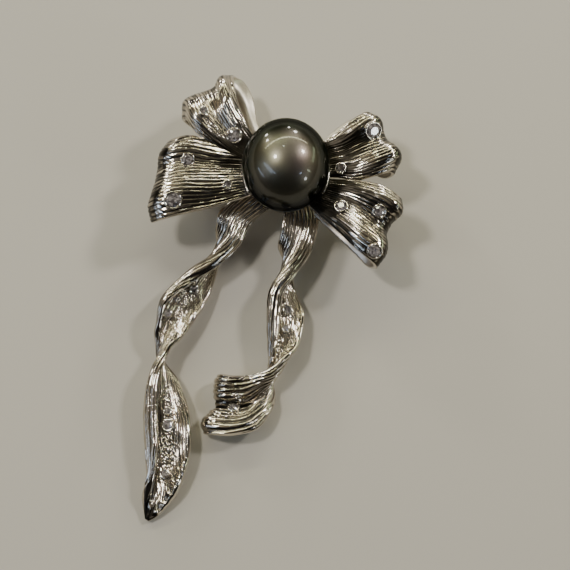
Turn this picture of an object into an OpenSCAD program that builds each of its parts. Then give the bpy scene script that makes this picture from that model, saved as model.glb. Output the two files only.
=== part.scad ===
// Bow brooch: four hollow ribbon loops and two twisting tails cast in one piece, with an oval pearl on
// a peg and round cut stones in tube settings. Millimetres. X runs across the bow, Y runs up the bow
// away from the tails, and Z comes out of its face. The origin is the middle of the pin's stem.

/* [Pearl] */
// Width of the pearl, across the bow
pearl_w = 11.6; // [10:0.1:13]
// Length of the pearl, up and down the bow
pearl_l = 12.6; // [11:0.1:14]
// Height of the pearl's centre over the pin's axis
pearl_h = 10.2; // [9.6:0.1:12]
// Diameter of the peg that the pearl is glued on
peg_d = 1.2; // [0.8:0.1:2]
// Depth of the peg inside the pearl
peg_depth = 4; // [2:0.1:6]

/* [Loops] */
// Reach of the upper left loop from the pearl's axis
upper_left_reach = 16.6; // [14:0.1:20]
// Width of the upper left loop at its fold
upper_left_width = 10.2; // [8:0.1:12]
// Direction of the upper left loop
upper_left_angle = 136; // [130:1:142]
// Reach of the lower left loop from the pearl's axis
lower_left_reach = 17.6; // [15:0.1:21]
// Width of the lower left loop at its fold
lower_left_width = 11.3; // [9:0.1:13]
// Direction of the lower left loop
lower_left_angle = 184; // [180:1:188]
// Reach of the upper right loop from the pearl's axis
upper_right_reach = 15.6; // [13:0.1:18]
// Width of the upper right loop at its fold
upper_right_width = 9.2; // [7:0.1:11]
// Direction of the upper right loop
upper_right_angle = 18; // [14:1:22]
// Reach of the lower right loop from the pearl's axis
lower_right_reach = 17.2; // [14:0.1:20]
// Width of the lower right loop at its fold
lower_right_width = 9.9; // [8:0.1:12]
// Direction of the lower right loop
lower_right_angle = -31; // [-35:1:-27]
// Height of the loops' back leaves over the pin's axis
loop_back_h = 3.6; // [3.2:0.1:5]
// Depth of the loops from back leaf to front leaf
loop_depth = 4; // [3:0.1:6]

/* [Tails] */
// Length of the left tail below the pearl's axis
left_tail_length = 46; // [40:0.5:52]
// Length of the right tail below the pearl's axis
right_tail_length = 34.4; // [30:0.5:40]
// Half width of the tails' ribbon
tail_half = 3; // [2.4:0.1:3.6]
// Height of the tails' roots over the surface that the brooch lies on
tail_root_h = 5.4; // [4.5:0.1:6.5]

/* [Sheet] */
// Thickness of the ribbon's sheet
sheet_t = 0.8; // [0.6:0.05:1.2]
// Height of the ribs on the ribbon's outer side
rib_h = 0.16; // [0.05:0.01:0.25]
// Ribs across a loop
loop_ribs = 9; // [6:1:12]
// Ribs across a tail
tail_ribs = 7; // [5:1:10]

/* [Settings] */
// Diameter that the stones' sizes are shares of, a little over the largest stone's
stone_d = 2; // [1.8:0.05:2.2]
// Wall of the tube settings
bezel_wall = 0.2; // [0.15:0.05:0.4]
// Height of a setting's rim over the sheet
bezel_rise = 0.45; // [0.3:0.05:0.8]
// Depth of a stone's girdle below its setting's rim
girdle_drop = 0.1; // [0.05:0.01:0.2]
// Gap between a stone or the pearl and its seat
seat_gap = 0.06; // [0.05:0.01:0.15]

/* [Hub] */
// Diameter of the hub behind the pearl
hub_d = 9; // [7:0.1:10]
// Thickness of the cup's wall
cup_wall = 0.4; // [0.35:0.05:0.8]
// Height of the cup's rim below the pearl's centre
cup_drop = 1.8; // [1:0.1:3]
// Width of the cup's opening, where the tails come out
cup_gate_w = 10; // [6:0.5:11]

/* [Pin] */
// Diameter of the pin's stem
pin_d = 0.9; // [0.7:0.1:1.2]
// Length of the bar that carries the pin
pin_bar_l = 21; // [16:0.5:24]
// Width of the bar
pin_bar_w = 2; // [1.5:0.1:3]
// Thickness of the bar
pin_bar_t = 0.8; // [0.6:0.1:1.2]
// Free space between the stem and the bar
pin_reach = 0.6; // [0.4:0.1:1]
// Length of the hinge block and the catch block
pin_block_l = 2.2; // [1.5:0.1:3]
// How far the blocks reach below the stem
pin_foot = 0.8; // [0.5:0.1:1.2]
// Gap between the bar and the hub
pin_gap = 0.1; // [0.05:0.01:0.2]

/* [Hidden] */
STONES = 18;
function stone_name(i) = str("stone_", i < 10 ? "0" : "", i);

floor_z = -pin_d / 2 - pin_foot;
bar_z = pin_d / 2 + pin_reach;
hub_z = bar_z + pin_bar_t + pin_gap;
pearl_long = pearl_l / pearl_w;
pearl_bottom = pearl_h - pearl_w / 2;
// Height of the peg's root inside the hub
peg_root = 1;
overlap = 0.01;

// Places across a ribbon's plain inner side
inner_steps = 5;
// Sections between two rows of a ribbon's table
steps = 2;

// Loop tables. Columns: out (share of the reach), side (share of the half width), up (share of the
// loop's depth, 0 on the back leaf), half (share of the half width), ruffle (share of the fold's ruffle).
// The rows follow the ribbon from the pearl along the front leaf, round the fold and back.
upper_left_rows = [
    [0.20, 0.10, 0.80, 0.30, 0.0],
    [0.45, 0.26, 0.90, 0.44, 0.1],
    [0.62, 0.24, 1.06, 0.60, 0.4],
    [0.80, 0.13, 1.22, 0.75, 0.8],
    [0.94, -0.09, 1.10, 0.85, 1.0],
    [1.00, -0.20, 0.62, 0.94, 1.0],
    [0.93, -0.33, 0.20, 0.97, 0.9],
    [0.76, -0.30, 0.08, 0.82, 0.6],
    [0.50, -0.12, 0.02, 0.48, 0.2],
    [0.20, 0.00, 0.00, 0.30, 0.0]];
lower_left_rows = [
    [0.18, 0.00, 0.80, 0.36, 0.0],
    [0.34, -0.06, 0.85, 0.62, 0.1],
    [0.56, -0.05, 1.02, 0.80, 0.4],
    [0.78, -0.08, 1.18, 0.98, 0.8],
    [0.94, -0.04, 1.08, 1.02, 1.0],
    [1.00, -0.07, 0.62, 1.00, 1.0],
    [0.94, -0.14, 0.20, 0.90, 0.9],
    [0.76, -0.12, 0.08, 0.74, 0.6],
    [0.46, -0.06, 0.02, 0.54, 0.2],
    [0.18, 0.00, 0.00, 0.34, 0.0]];
upper_right_rows = [
    [0.22, 0.00, 0.80, 0.36, 0.0],
    [0.42, 0.00, 0.90, 0.60, 0.1],
    [0.58, -0.08, 1.04, 0.80, 0.4],
    [0.76, -0.02, 1.16, 0.92, 0.8],
    [0.92, 0.06, 1.08, 0.98, 1.0],
    [0.96, 0.08, 0.62, 1.00, 1.0],
    [0.89, 0.18, 0.20, 0.98, 0.9],
    [0.76, 0.40, 0.08, 0.88, 0.6],
    [0.50, 0.38, 0.02, 0.62, 0.2],
    [0.22, 0.10, 0.00, 0.36, 0.0]];
lower_right_rows = [
    [0.18, 0.00, 0.78, 0.36, 0.0],
    [0.36, 0.00, 0.82, 0.54, 0.1],
    [0.56, 0.06, 1.00, 0.76, 0.4],
    [0.78, 0.04, 1.14, 0.96, 0.8],
    [0.94, 0.00, 1.04, 1.00, 1.0],
    [0.97, 0.00, 0.58, 1.00, 1.0],
    [0.90, 0.02, 0.18, 0.98, 0.9],
    [0.76, 0.06, 0.06, 0.86, 0.6],
    [0.48, 0.04, 0.02, 0.60, 0.2],
    [0.18, 0.00, 0.00, 0.34, 0.0]];

// Ruffle tables, in even places across the fold. Columns: out (share of the reach), lift (share of the
// loop's depth).
upper_left_ruffle = [[-0.06, -0.16], [-0.02, 0.14], [-0.05, 0.02], [0, -0.14], [0.03, 0.06],
    [0.035, 0.14], [-0.04, -0.2]];
lower_left_ruffle = [[-0.12, -0.14], [-0.05, 0.12], [-0.03, -0.12], [-0.01, -0.02], [0.025, 0.12],
    [0.05, 0.06], [0.03, -0.12]];
upper_right_ruffle = [[-0.07, -0.16], [0.02, 0.1], [0.01, 0.08], [-0.03, -0.12], [-0.035, -0.16],
    [-0.03, 0.1], [-0.1, 0.04]];
lower_right_ruffle = [[0, -0.14], [0.02, 0.12], [-0.025, 0], [-0.075, -0.2], [-0.075, -0.08],
    [-0.045, 0.16], [-0.1, -0.12]];

// Tail tables. Columns: across and along (shares of the tail's length), up (share of the root's
// height), half (share of the half width), heading (degrees), roll (degrees), curl_a and curl_b
// (degrees of turn at the ribbon's two edges), pleat (share of the end's pleat).
left_tail_rows = [
    [-0.075, -0.050, 1.00, 0.72, -128, 0, -20, -20, 0],
    [-0.148, -0.110, 0.92, 0.80, -112, 2, -20, -20, 0],
    [-0.172, -0.165, 0.80, 0.74, -128, 18, -50, -10, 0],
    [-0.214, -0.218, 0.66, 0.76, -142, 70, -100, 100, 0],
    [-0.272, -0.283, 0.52, 1.06, -136, 150, -185, 25, 0],
    [-0.330, -0.366, 0.44, 1.22, -124, 176, -148, 20, 0],
    [-0.349, -0.450, 0.46, 0.80, -116, 205, -135, -15, 0],
    [-0.360, -0.505, 0.48, 0.56, -108, 262, -90, -80, 0],
    [-0.374, -0.580, 0.44, 0.94, -92, 330, 0, -170, 0],
    [-0.370, -0.690, 0.30, 1.42, -88, 360, 20, -190, 0],
    [-0.359, -0.790, 0.23, 1.42, -92, 366, 30, -180, 0],
    [-0.361, -0.890, 0.18, 0.98, -104, 372, 30, -150, 0],
    [-0.385, -0.960, 0.125, 0.44, -120, 372, 0, -50, 0],
    [-0.396, -0.990, 0.10, 0.10, -120, 372, 0, 0, 0]];
right_tail_rows = [
    [0.045, -0.070, 1.00, 0.66, -80, 0, -20, -20, 0],
    [0.058, -0.160, 0.94, 0.84, -92, 0, -20, -20, 0],
    [0.036, -0.260, 0.80, 0.80, -104, 12, -50, -20, 0],
    [-0.004, -0.345, 0.66, 0.82, -118, 70, -100, 95, 0],
    [-0.036, -0.436, 0.54, 1.06, -98, 140, -170, 20, 0],
    [-0.032, -0.540, 0.46, 1.22, -88, 170, -190, 15, 0],
    [-0.028, -0.660, 0.44, 0.96, -96, 188, -180, 40, 0],
    [-0.036, -0.762, 0.52, 0.72, -130, 236, -160, 130, 0],
    [-0.090, -0.832, 0.50, 0.86, -150, 325, 20, 35, 0.3],
    [-0.146, -0.880, 0.48, 1.26, -176, 356, 30, -20, 1],
    [-0.202, -0.890, 0.48, 1.40, -190, 360, 30, -40, 1],
    [-0.256, -0.886, 0.46, 1.42, -202, 360, 20, -40, 1],
    [-0.282, -0.882, 0.30, 1.36, -204, 360, 10, -20, 1],
    [-0.262, -0.886, 0.25, 1.24, -204, 360, 10, -20, 0.6]];
// Pleat of the right tail's end, in even places across it. Columns: out (share of the length), lift
// (share of the root's height).
right_tail_pleat = [[0.004, -0.06], [0.012, 0.06], [0.004, 0.04], [-0.022, -0.15], [-0.008, -0.02],
    [0.001, 0.06], [-0.032, -0.06]];

// Columns of a ribbon's rows, in millimetres and degrees
OUT = 0;
SIDE = 1;
UP = 2;
HALF = 3;
HEADING = 4;
ROLL = 5;
CURL_A = 6;
CURL_B = 7;
RUFFLE = 8;
// The ruffle's column in a loop table, and the lift's in a ruffle or pleat table
LOOP_RUFFLE = 4;
LIFT = 1;

function loop_row(row, reach, width, angle) =
    let (
        out = row[OUT] * reach,
        side = row[SIDE] * width / 2
    )
    [
        out * cos(angle) - side * sin(angle),
        out * sin(angle) + side * cos(angle),
        loop_back_h + row[UP] * loop_depth,
        row[HALF] * width / 2,
        angle, 0, 0, 0, row[LOOP_RUFFLE]
    ];
function loop_rows(rows, reach, width, angle) = [for (row = rows) loop_row(row, reach, width, angle)];
function loop_ruffle(rows, reach) = [for (row = rows) [row[OUT] * reach, row[LIFT] * loop_depth]];
function tail_rows(rows, length) = [for (row = rows) [
    row[OUT] * length, row[SIDE] * length, floor_z + row[UP] * tail_root_h, row[HALF] * tail_half,
    row[HEADING], row[ROLL], row[CURL_A], row[CURL_B], row[RUFFLE]
]];
function tail_pleat(rows, length) = [for (row = rows) [row[OUT] * length, row[LIFT] * tail_root_h]];
no_pleat = [[0, 0], [0, 0]];

// The six ribbons. Columns: rows, ruffle, number of ribs
ROWS = 0;
PLEATS = 1;
RIBS = 2;
RIBBONS = [
    [loop_rows(upper_left_rows, upper_left_reach, upper_left_width, upper_left_angle),
        loop_ruffle(upper_left_ruffle, upper_left_reach), loop_ribs],
    [loop_rows(lower_left_rows, lower_left_reach, lower_left_width, lower_left_angle),
        loop_ruffle(lower_left_ruffle, lower_left_reach), loop_ribs],
    [loop_rows(upper_right_rows, upper_right_reach, upper_right_width, upper_right_angle),
        loop_ruffle(upper_right_ruffle, upper_right_reach), loop_ribs],
    [loop_rows(lower_right_rows, lower_right_reach, lower_right_width, lower_right_angle),
        loop_ruffle(lower_right_ruffle, lower_right_reach), loop_ribs],
    [tail_rows(left_tail_rows, left_tail_length), no_pleat, tail_ribs],
    [tail_rows(right_tail_rows, right_tail_length),
        tail_pleat(right_tail_pleat, right_tail_length), tail_ribs]];

// Stones. Columns: ribbon, along (share of the ribbon's rows), across (-1 to 1), side of the sheet
// (1 is the ribbed side), diameter (share of stone_d).
RIBBON = 0;
ALONG = 1;
ACROSS = 2;
FACE = 3;
ROUND = 4;
stone_rows = [
    [0, 0.335, 0.365, 1, 0.50],
    [0, 0.160, -0.12, 1, 0.85],
    [1, 0.325, -0.38, 1, 0.675],
    [1, 0.360, 0.665, 1, 0.95],
    [1, 0.170, 0.42, 1, 0.40],
    [2, 0.390, 0.47, 1, 0.975],
    [2, 0.140, -0.60, 1, 0.55],
    [3, 0.210, -0.26, 1, 0.725],
    [3, 0.380, 0.32, 1, 0.675],
    [3, 0.410, -0.74, 1, 0.775],
    [4, 0.330, -0.28, -1, 0.425],
    [4, 0.413, 0.12, -1, 0.45],
    [4, 0.687, 0.32, 1, 0.35],
    [4, 0.716, 0.30, 1, 0.60],
    [4, 0.820, 0.22, 1, 0.425],
    [5, 0.368, -0.36, -1, 0.50],
    [5, 0.417, -0.30, -1, 0.35],
    [5, 0.790, 0.12, 1, 0.55]];

// A value at t, from 0 to 1, on the smooth curve through the rows
function row_near(rows, i) = rows[max(0, min(len(rows) - 1, i))];
function smooth(a, b, c, d, f) =
    (2 * b + (c - a) * f + (2 * a - 5 * b + 4 * c - d) * f * f + (3 * b - a - 3 * c + d) * f * f * f) / 2;
function row_at(rows, t) =
    let (
        x = max(0, min(1, t)) * (len(rows) - 1),
        i = min(floor(x), len(rows) - 2)
    )
    smooth(row_near(rows, i - 1), row_near(rows, i), row_near(rows, i + 1), row_near(rows, i + 2), x - i);

function unit(v) = v / norm(v);
function sum(v) = v * [for (x = v) 1];
function place(row) = [row[OUT], row[SIDE], row[UP]];

// Direction along a ribbon at t, and its two axes across there, for a row's heading
run_step = 0.01;
function run_at(ribbon, t) =
    unit(place(row_at(ribbon[ROWS], t + run_step)) - place(row_at(ribbon[ROWS], t - run_step)));
function side_of(row) = [-sin(row[HEADING]), cos(row[HEADING]), 0];

// Turn of the sheet at u, and the walk across it from the middle to u
function turn(row, u) = row[ROLL] + (u > 0 ? row[CURL_A] : row[CURL_B]) * pow(sin(90 * u), 2);
walk_steps = 6;
function walk(row, u) =
    let (part = [for (k = [0.5 : walk_steps]) let (a = turn(row, u * k / walk_steps)) [cos(a), sin(a)]])
    [for (i = [0, 1]) row[HALF] * u / walk_steps * sum([for (p = part) p[i]])];

// Point on the middle of a ribbon's sheet, at t along it and u across it
function ribbon_point(ribbon, t, u) =
    let (
        row = row_at(ribbon[ROWS], t),
        side = side_of(row),
        out = unit(cross(run_at(ribbon, t), side)),
        step = walk(row, u),
        ruffle = row_at(ribbon[PLEATS], (u + 1) / 2) * row[RUFFLE]
    )
    place(row) + side * step[0] + out * step[1]
        + [cos(row[HEADING]), sin(row[HEADING]), 0] * ruffle[OUT] + [0, 0, ruffle[LIFT]];
// Direction out of the sheet's ribbed side
function ribbon_normal(ribbon, t, u) =
    let (
        row = row_at(ribbon[ROWS], t),
        side = side_of(row),
        out = unit(cross(run_at(ribbon, t), side)),
        a = turn(row, u)
    )
    out * cos(a) - side * sin(a);

// One ribbon as a closed sheet: ribbed on its outer side, with two places across for each rib, and
// plain on its inner side
module ribbon(ribbon) {
    outer_steps = 2 * ribbon[RIBS];
    sections = (len(ribbon[ROWS]) - 1) * steps;
    section = outer_steps + inner_steps + 2;
    points = [for (i = [0 : sections]) let (t = i / sections) each concat(
        [for (j = [0 : outer_steps]) let (u = 2 * j / outer_steps - 1)
            ribbon_point(ribbon, t, u)
                + ribbon_normal(ribbon, t, u) * (sheet_t / 2 + (j % 2 == 1 ? rib_h : 0))],
        [for (j = [inner_steps : -1 : 0]) let (u = 2 * j / inner_steps - 1)
            ribbon_point(ribbon, t, u) - ribbon_normal(ribbon, t, u) * sheet_t / 2])];
    walls = [for (i = [0 : sections - 1], j = [0 : section - 1])
        let (a = i * section + j, b = i * section + (j + 1) % section)
        each [[a, b, b + section], [a, b + section, a + section]]];
    ends = [
        [for (j = [section - 1 : -1 : 0]) j],
        [for (j = [0 : section - 1]) sections * section + j]];
    polyhedron(points = points, faces = concat(walls, ends), convexity = 8);
}

// Height over the middle of the sheet: its own side, a setting's rim and a stone's girdle
sheet_top = sheet_t / 2;
rim_top = sheet_top + bezel_rise;
girdle_z = rim_top - girdle_drop;

// Moves its children to a stone's place, with +Z out of the sheet
module at_stone(row) {
    ribbon = RIBBONS[row[RIBBON]];
    spot = ribbon_point(ribbon, row[ALONG], row[ACROSS]);
    aim = stone_aim(ribbon, row[ALONG], row[ACROSS]) * row[FACE];
    translate(spot)
    rotate([0, acos(aim[2]), atan2(aim[1], aim[0])])
    children();
}
// Direction out of a ribbon at a stone, from the points round its place
aim_along = 0.02;
aim_across = 0.05;
function stone_aim(ribbon, t, u) = unit(cross(
    ribbon_point(ribbon, t + aim_along, u) - ribbon_point(ribbon, t - aim_along, u),
    ribbon_point(ribbon, t, u + aim_across) - ribbon_point(ribbon, t, u - aim_across)));

// A round cut stone with its girdle at Z = 0: octagon table, crown, girdle and pavilion
crown_share = 0.16;
table_share = 0.58;
pavilion_share = 0.43;
girdle_t = 0.04;
table_sides = 8;
girdle_sides = 2 * table_sides;
module cut_stone(d) {
    table = [for (i = [0 : table_sides - 1]) let (a = i * 360 / table_sides)
        [cos(a) * table_share * d / 2, sin(a) * table_share * d / 2, crown_share * d]];
    top = [for (i = [0 : girdle_sides - 1]) let (a = i * 360 / girdle_sides)
        [cos(a) * d / 2, sin(a) * d / 2, girdle_t / 2]];
    bottom = [for (p = top) [p[0], p[1], -girdle_t / 2]];
    culet = [[0, 0, -pavilion_share * d]];
    lower = table_sides + girdle_sides;
    crown = [for (i = [0 : table_sides - 1])
        let (n = (i + 1) % table_sides, g = table_sides + 2 * i)
        each [[i, g + 1, g], [i, n, g + 1],
            [n, table_sides + (2 * i + 2) % girdle_sides, g + 1]]];
    girdle = [for (i = [0 : girdle_sides - 1]) let (n = (i + 1) % girdle_sides)
        [table_sides + i, table_sides + n, lower + n, lower + i]];
    pavilion = [for (i = [0 : girdle_sides - 1]) let (n = (i + 1) % girdle_sides)
        [lower + i, lower + n, lower + girdle_sides]];
    polyhedron(points = concat(table, top, bottom, culet),
        faces = concat([[for (i = [table_sides - 1 : -1 : 0]) i]], crown, girdle, pavilion));
}

// Settings: a straight collar that narrows to a foot inside or behind the sheet
setting_sides = 12;
collar_h = 0.4;
foot_share = 0.6;
foot_wall = 0.1;
seat_tip = 0.1;

module setting(d) {
    outer = d + 2 * (seat_gap + bezel_wall);
    foot = max(sheet_top / 2, pavilion_share * d - girdle_z + foot_wall);
    hull() {
        translate([0, 0, rim_top - collar_h])
            cylinder(d = outer, h = collar_h, $fn = setting_sides);
        translate([0, 0, -foot])
            cylinder(d = outer * foot_share, h = overlap, $fn = setting_sides);
    }
}
module setting_seat(d) {
    hole = d + 2 * seat_gap;
    seat_z = girdle_z - girdle_t;
    translate([0, 0, seat_z])
        cylinder(d = hole, h = rim_top, $fn = setting_sides);
    translate([0, 0, seat_z - hole / 2])
        cylinder(d1 = seat_tip, d2 = hole, h = hole / 2 + overlap, $fn = setting_sides);
}

module pearl_form(grow) {
    translate([0, 0, pearl_h])
    scale([1, pearl_long, 1])
        sphere(d = pearl_w + 2 * grow, $fn = 36);
}

// Hub and cup turned in one profile: a flat back, then a bowl round the pearl up to its rim. The bowl
// is open below, where the tails come out.
bowl_steps = 4;
module hub() {
    outer = pearl_w / 2 + seat_gap + cup_wall;
    rim = -asin(cup_drop / outer);
    foot = -acos(hub_d / 2 / outer);
    bowl = [for (i = [0 : bowl_steps]) let (a = foot + (rim - foot) * i / bowl_steps)
        [outer * cos(a), pearl_h + outer * sin(a)]];
    gate_z = floor_z + tail_root_h;
    difference() {
        scale([1, pearl_long, 1])
        rotate_extrude($fn = 32)
            polygon(concat([[0, hub_z], [hub_d / 2, hub_z]], bowl, [[0, pearl_h - cup_drop]]));
        translate([-cup_gate_w / 2, -pearl_l, gate_z])
            cube([cup_gate_w, pearl_l, pearl_h]);
    }
}

module bow() {
    color("silver")
    difference() {
        union() {
            for (r = RIBBONS)
                ribbon(r);
            hub();
            for (row = stone_rows)
                at_stone(row) setting(row[ROUND] * stone_d);
        }
        pearl_form(seat_gap);
        for (row = stone_rows)
            at_stone(row) setting_seat(row[ROUND] * stone_d);
    }
    color("silver")
    translate([0, 0, hub_z + peg_root])
        cylinder(d = peg_d, h = pearl_bottom - hub_z - peg_root + peg_depth, $fn = 20);
}

module pearl() {
    color("#4a4740")
    difference() {
        translate([0, 0, pearl_h])
        scale([1, pearl_long, 1])
            sphere(d = pearl_w, $fn = 96);
        translate([0, 0, pearl_bottom - peg_d])
            cylinder(d = peg_d + 2 * seat_gap, h = peg_d + peg_depth + 2 * seat_gap, $fn = 32);
    }
}

module stone(row) {
    color("azure")
    at_stone(row)
    translate([0, 0, girdle_z])
        cut_stone(row[ROUND] * stone_d);
}

module pin() {
    color("gainsboro") {
        rotate([0, 90, 0])
            cylinder(d = pin_d, h = pin_bar_l - 2 * overlap, center = true, $fn = 32);
        translate([-pin_bar_l / 2, -pin_bar_w / 2, bar_z])
            cube([pin_bar_l, pin_bar_w, pin_bar_t]);
        for (x = [-pin_bar_l / 2, pin_bar_l / 2 - pin_block_l])
            translate([x, -pin_bar_w / 2, floor_z])
                cube([pin_block_l, pin_bar_w, bar_z - floor_z]);
    }
}

bow();
pearl();
pin();
for (i = [1 : STONES])
    stone(stone_rows[i - 1]);
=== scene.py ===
import bpy
import math
import mathutils
import numpy as np
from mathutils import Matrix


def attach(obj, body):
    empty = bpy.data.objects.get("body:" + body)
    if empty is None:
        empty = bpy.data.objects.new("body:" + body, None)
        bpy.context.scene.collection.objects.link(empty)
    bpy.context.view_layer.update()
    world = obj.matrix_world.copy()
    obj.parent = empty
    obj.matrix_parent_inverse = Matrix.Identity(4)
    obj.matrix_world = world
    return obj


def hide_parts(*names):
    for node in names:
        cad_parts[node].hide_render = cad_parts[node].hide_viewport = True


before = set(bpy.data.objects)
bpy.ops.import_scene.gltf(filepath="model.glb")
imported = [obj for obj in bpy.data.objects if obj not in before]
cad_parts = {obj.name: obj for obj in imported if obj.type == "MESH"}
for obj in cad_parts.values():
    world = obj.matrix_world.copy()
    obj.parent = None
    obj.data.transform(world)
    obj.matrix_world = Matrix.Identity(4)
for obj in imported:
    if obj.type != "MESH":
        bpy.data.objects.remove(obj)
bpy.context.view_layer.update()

# The four loops
# Each loop is one strip of cast silver alloy, ribbed along its length in the wax. It runs out from
# behind the pearl, round a ruffled fold and back to the hub, where it is soldered. The casting is
# plated with bright rhodium. Every ribbon has its ribbed side outward and a plainer side within.

# Sizes are in millimetres, and MM turns them into metres. Heights are over the middle of the pin.
MM = 0.001
SHEET_HALF = 0.3
# Height of a loop's back leaf, the depth up to its front leaf, and how far its sheet wanders from true
LOOP_BACK_H, LOOP_DEPTH, LOOP_BUCKLE = 3.6, 4.0, 0.17
# Sections along a loop, points across it, its ribs, and the widest spacing that counts for their height
LOOP_SECTIONS, LOOP_ACROSS, LOOP_RIBS, LOOP_PITCH_MOST = 165, 180, 20, 0.75
# Columns: out (share of the reach), side (share of the half width), up (share of the depth), half
# (share of the half width), ruffle (share of the fold's ruffle). Hub_shade_to is how far the painted
# shade by the hub reaches along the loop, in even places across, and fold_shade is the painted shade on
# its fold.
LOOPS = {
    "loop_upper_left": dict(reach=16.6, width=10.2, angle=136, rows=[
        [0.20, 0.10, 0.80, 0.30, 0.0], [0.45, 0.26, 0.90, 0.44, 0.1], [0.62, 0.24, 1.06, 0.60, 0.4],
        [0.80, 0.13, 1.22, 0.75, 0.8], [0.94, -0.09, 1.10, 0.85, 1.0], [1.00, -0.20, 0.62, 0.94, 1.0],
        [0.93, -0.33, 0.20, 0.97, 0.9], [0.76, -0.30, 0.08, 0.82, 0.6], [0.50, -0.12, 0.02, 0.48, 0.2],
        [0.20, 0.00, 0.00, 0.30, 0.0]],
        hub_shade_to=[0.20, 0.14, 0.14, 0.22, 0.25], fold_shade=0.3,
        ruffle=[[-0.06, -0.16], [-0.02, 0.14], [-0.05, 0.02], [0.0, -0.14], [0.03, 0.06],
                [0.035, 0.14], [-0.04, -0.20]]),
    "loop_lower_left": dict(reach=17.6, width=11.3, angle=184, rows=[
        [0.18, 0.00, 0.80, 0.36, 0.0], [0.34, -0.06, 0.85, 0.62, 0.1], [0.56, -0.05, 1.02, 0.80, 0.4],
        [0.78, -0.08, 1.18, 0.98, 0.8], [0.94, -0.04, 1.08, 1.02, 1.0], [1.00, -0.07, 0.62, 1.00, 1.0],
        [0.94, -0.14, 0.20, 0.90, 0.9], [0.76, -0.12, 0.08, 0.74, 0.6], [0.46, -0.06, 0.02, 0.54, 0.2],
        [0.18, 0.00, 0.00, 0.34, 0.0]],
        hub_shade_to=[0.12, 0.20, 0.15, 0.13, 0.10], fold_shade=0.4,
        ruffle=[[-0.12, -0.14], [-0.05, 0.12], [-0.03, -0.12], [-0.01, -0.02], [0.025, 0.12],
                [0.05, 0.06], [0.03, -0.12]]),
    "loop_upper_right": dict(reach=15.6, width=9.2, angle=18, rows=[
        [0.22, 0.00, 0.80, 0.36, 0.0], [0.42, 0.00, 0.90, 0.60, 0.1], [0.58, -0.08, 1.04, 0.80, 0.4],
        [0.76, -0.02, 1.16, 0.92, 0.8], [0.92, 0.06, 1.08, 0.98, 1.0], [0.96, 0.08, 0.62, 1.00, 1.0],
        [0.89, 0.18, 0.20, 0.98, 0.9], [0.76, 0.40, 0.08, 0.88, 0.6], [0.50, 0.38, 0.02, 0.62, 0.2],
        [0.22, 0.10, 0.00, 0.36, 0.0]],
        hub_shade_to=[0.18, 0.24, 0.32, 0.38, 0.08], fold_shade=0.7,
        ruffle=[[-0.07, -0.16], [0.02, 0.10], [0.01, 0.08], [-0.03, -0.12], [-0.035, -0.16],
                [-0.03, 0.10], [-0.10, 0.04]]),
    "loop_lower_right": dict(reach=17.2, width=9.9, angle=-31, rows=[
        [0.18, 0.00, 0.78, 0.36, 0.0], [0.36, 0.00, 0.82, 0.54, 0.1], [0.56, 0.06, 1.00, 0.76, 0.4],
        [0.78, 0.04, 1.14, 0.96, 0.8], [0.94, 0.00, 1.04, 1.00, 1.0], [0.97, 0.00, 0.58, 1.00, 1.0],
        [0.90, 0.02, 0.18, 0.98, 0.9], [0.76, 0.06, 0.06, 0.86, 0.6], [0.48, 0.04, 0.02, 0.60, 0.2],
        [0.18, 0.00, 0.00, 0.34, 0.0]],
        hub_shade_to=[0.34, 0.25, 0.26, 0.38, 0.14], fold_shade=0.75,
        ruffle=[[0.0, -0.14], [0.02, 0.12], [-0.025, 0.00], [-0.075, -0.20], [-0.075, -0.08],
                [-0.045, 0.16], [-0.10, -0.12]]),
}
# Columns of a ribbon's own rows, after two for its place
UP, HALF, HEADING, ROLL, CURL_A, CURL_B, RUFFLE = range(2, 9)
# Step along a table for its direction there, and the parts in which a section is bent
TABLE_STEP, BEND_PARTS = 0.01, 6


def unit(v):
    """Each vector divided by its length."""
    return v / np.maximum(np.linalg.norm(v, axis=-1, keepdims=True), 1e-12)


def along_rows(rows, t):
    """A table's values at t, 0 to 1. Each is the cubic through the two rows next to t whose slopes
    come from the rows beyond them, so the curve passes through every row and has no corner."""
    rows = np.asarray(rows, float)
    x = np.clip(t, 0, 1) * (len(rows) - 1)
    i = np.minimum(np.floor(x).astype(int), len(rows) - 2)
    f = (x - i)[..., None]
    a, b, c, d = (rows[np.clip(i + k, 0, len(rows) - 1)] for k in (-1, 0, 1, 2))
    return (2 * b + (c - a) * f + (2 * a - 5 * b + 4 * c - d) * f**2
            + (3 * b - a - 3 * c + d) * f**3) / 2


def ribbon_middle(rows, ruffle, t, u):
    """Middle of a ribbon's sheet at t along it and u across it, -1 to 1. From the row's place it steps
    across in even parts, each turned by the roll plus the edge's curl times the squared sine of its
    share of a right angle, and the ruffle then moves it ahead and up."""
    row = along_rows(rows, t)
    heading = np.radians(row[..., HEADING])
    side = np.stack([-np.sin(heading), np.cos(heading), 0 * heading], -1)
    ahead = np.stack([np.cos(heading), np.sin(heading), 0 * heading], -1)
    run = unit(along_rows(rows, t + TABLE_STEP)[..., :3] - along_rows(rows, t - TABLE_STEP)[..., :3])
    out = unit(np.cross(run, side))
    curl = np.where(u > 0, row[..., CURL_A], row[..., CURL_B])
    parts = (np.arange(BEND_PARTS) + 0.5) / BEND_PARTS
    bend = np.sin(math.pi / 2 * u[..., None] * parts) ** 2
    turn = np.radians(row[..., ROLL, None] + curl[..., None] * bend)
    reach = (row[..., HALF] * u)[..., None]
    wave = along_rows(ruffle, (u + 1) / 2) * row[..., RUFFLE, None]
    return (row[..., :3] + side * np.cos(turn).mean(-1, keepdims=True) * reach
            + out * np.sin(turn).mean(-1, keepdims=True) * reach
            + ahead * wave[..., :1] + np.array([0, 0, 1.0]) * wave[..., 1:])


DRIFT_GRID = 128


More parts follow.
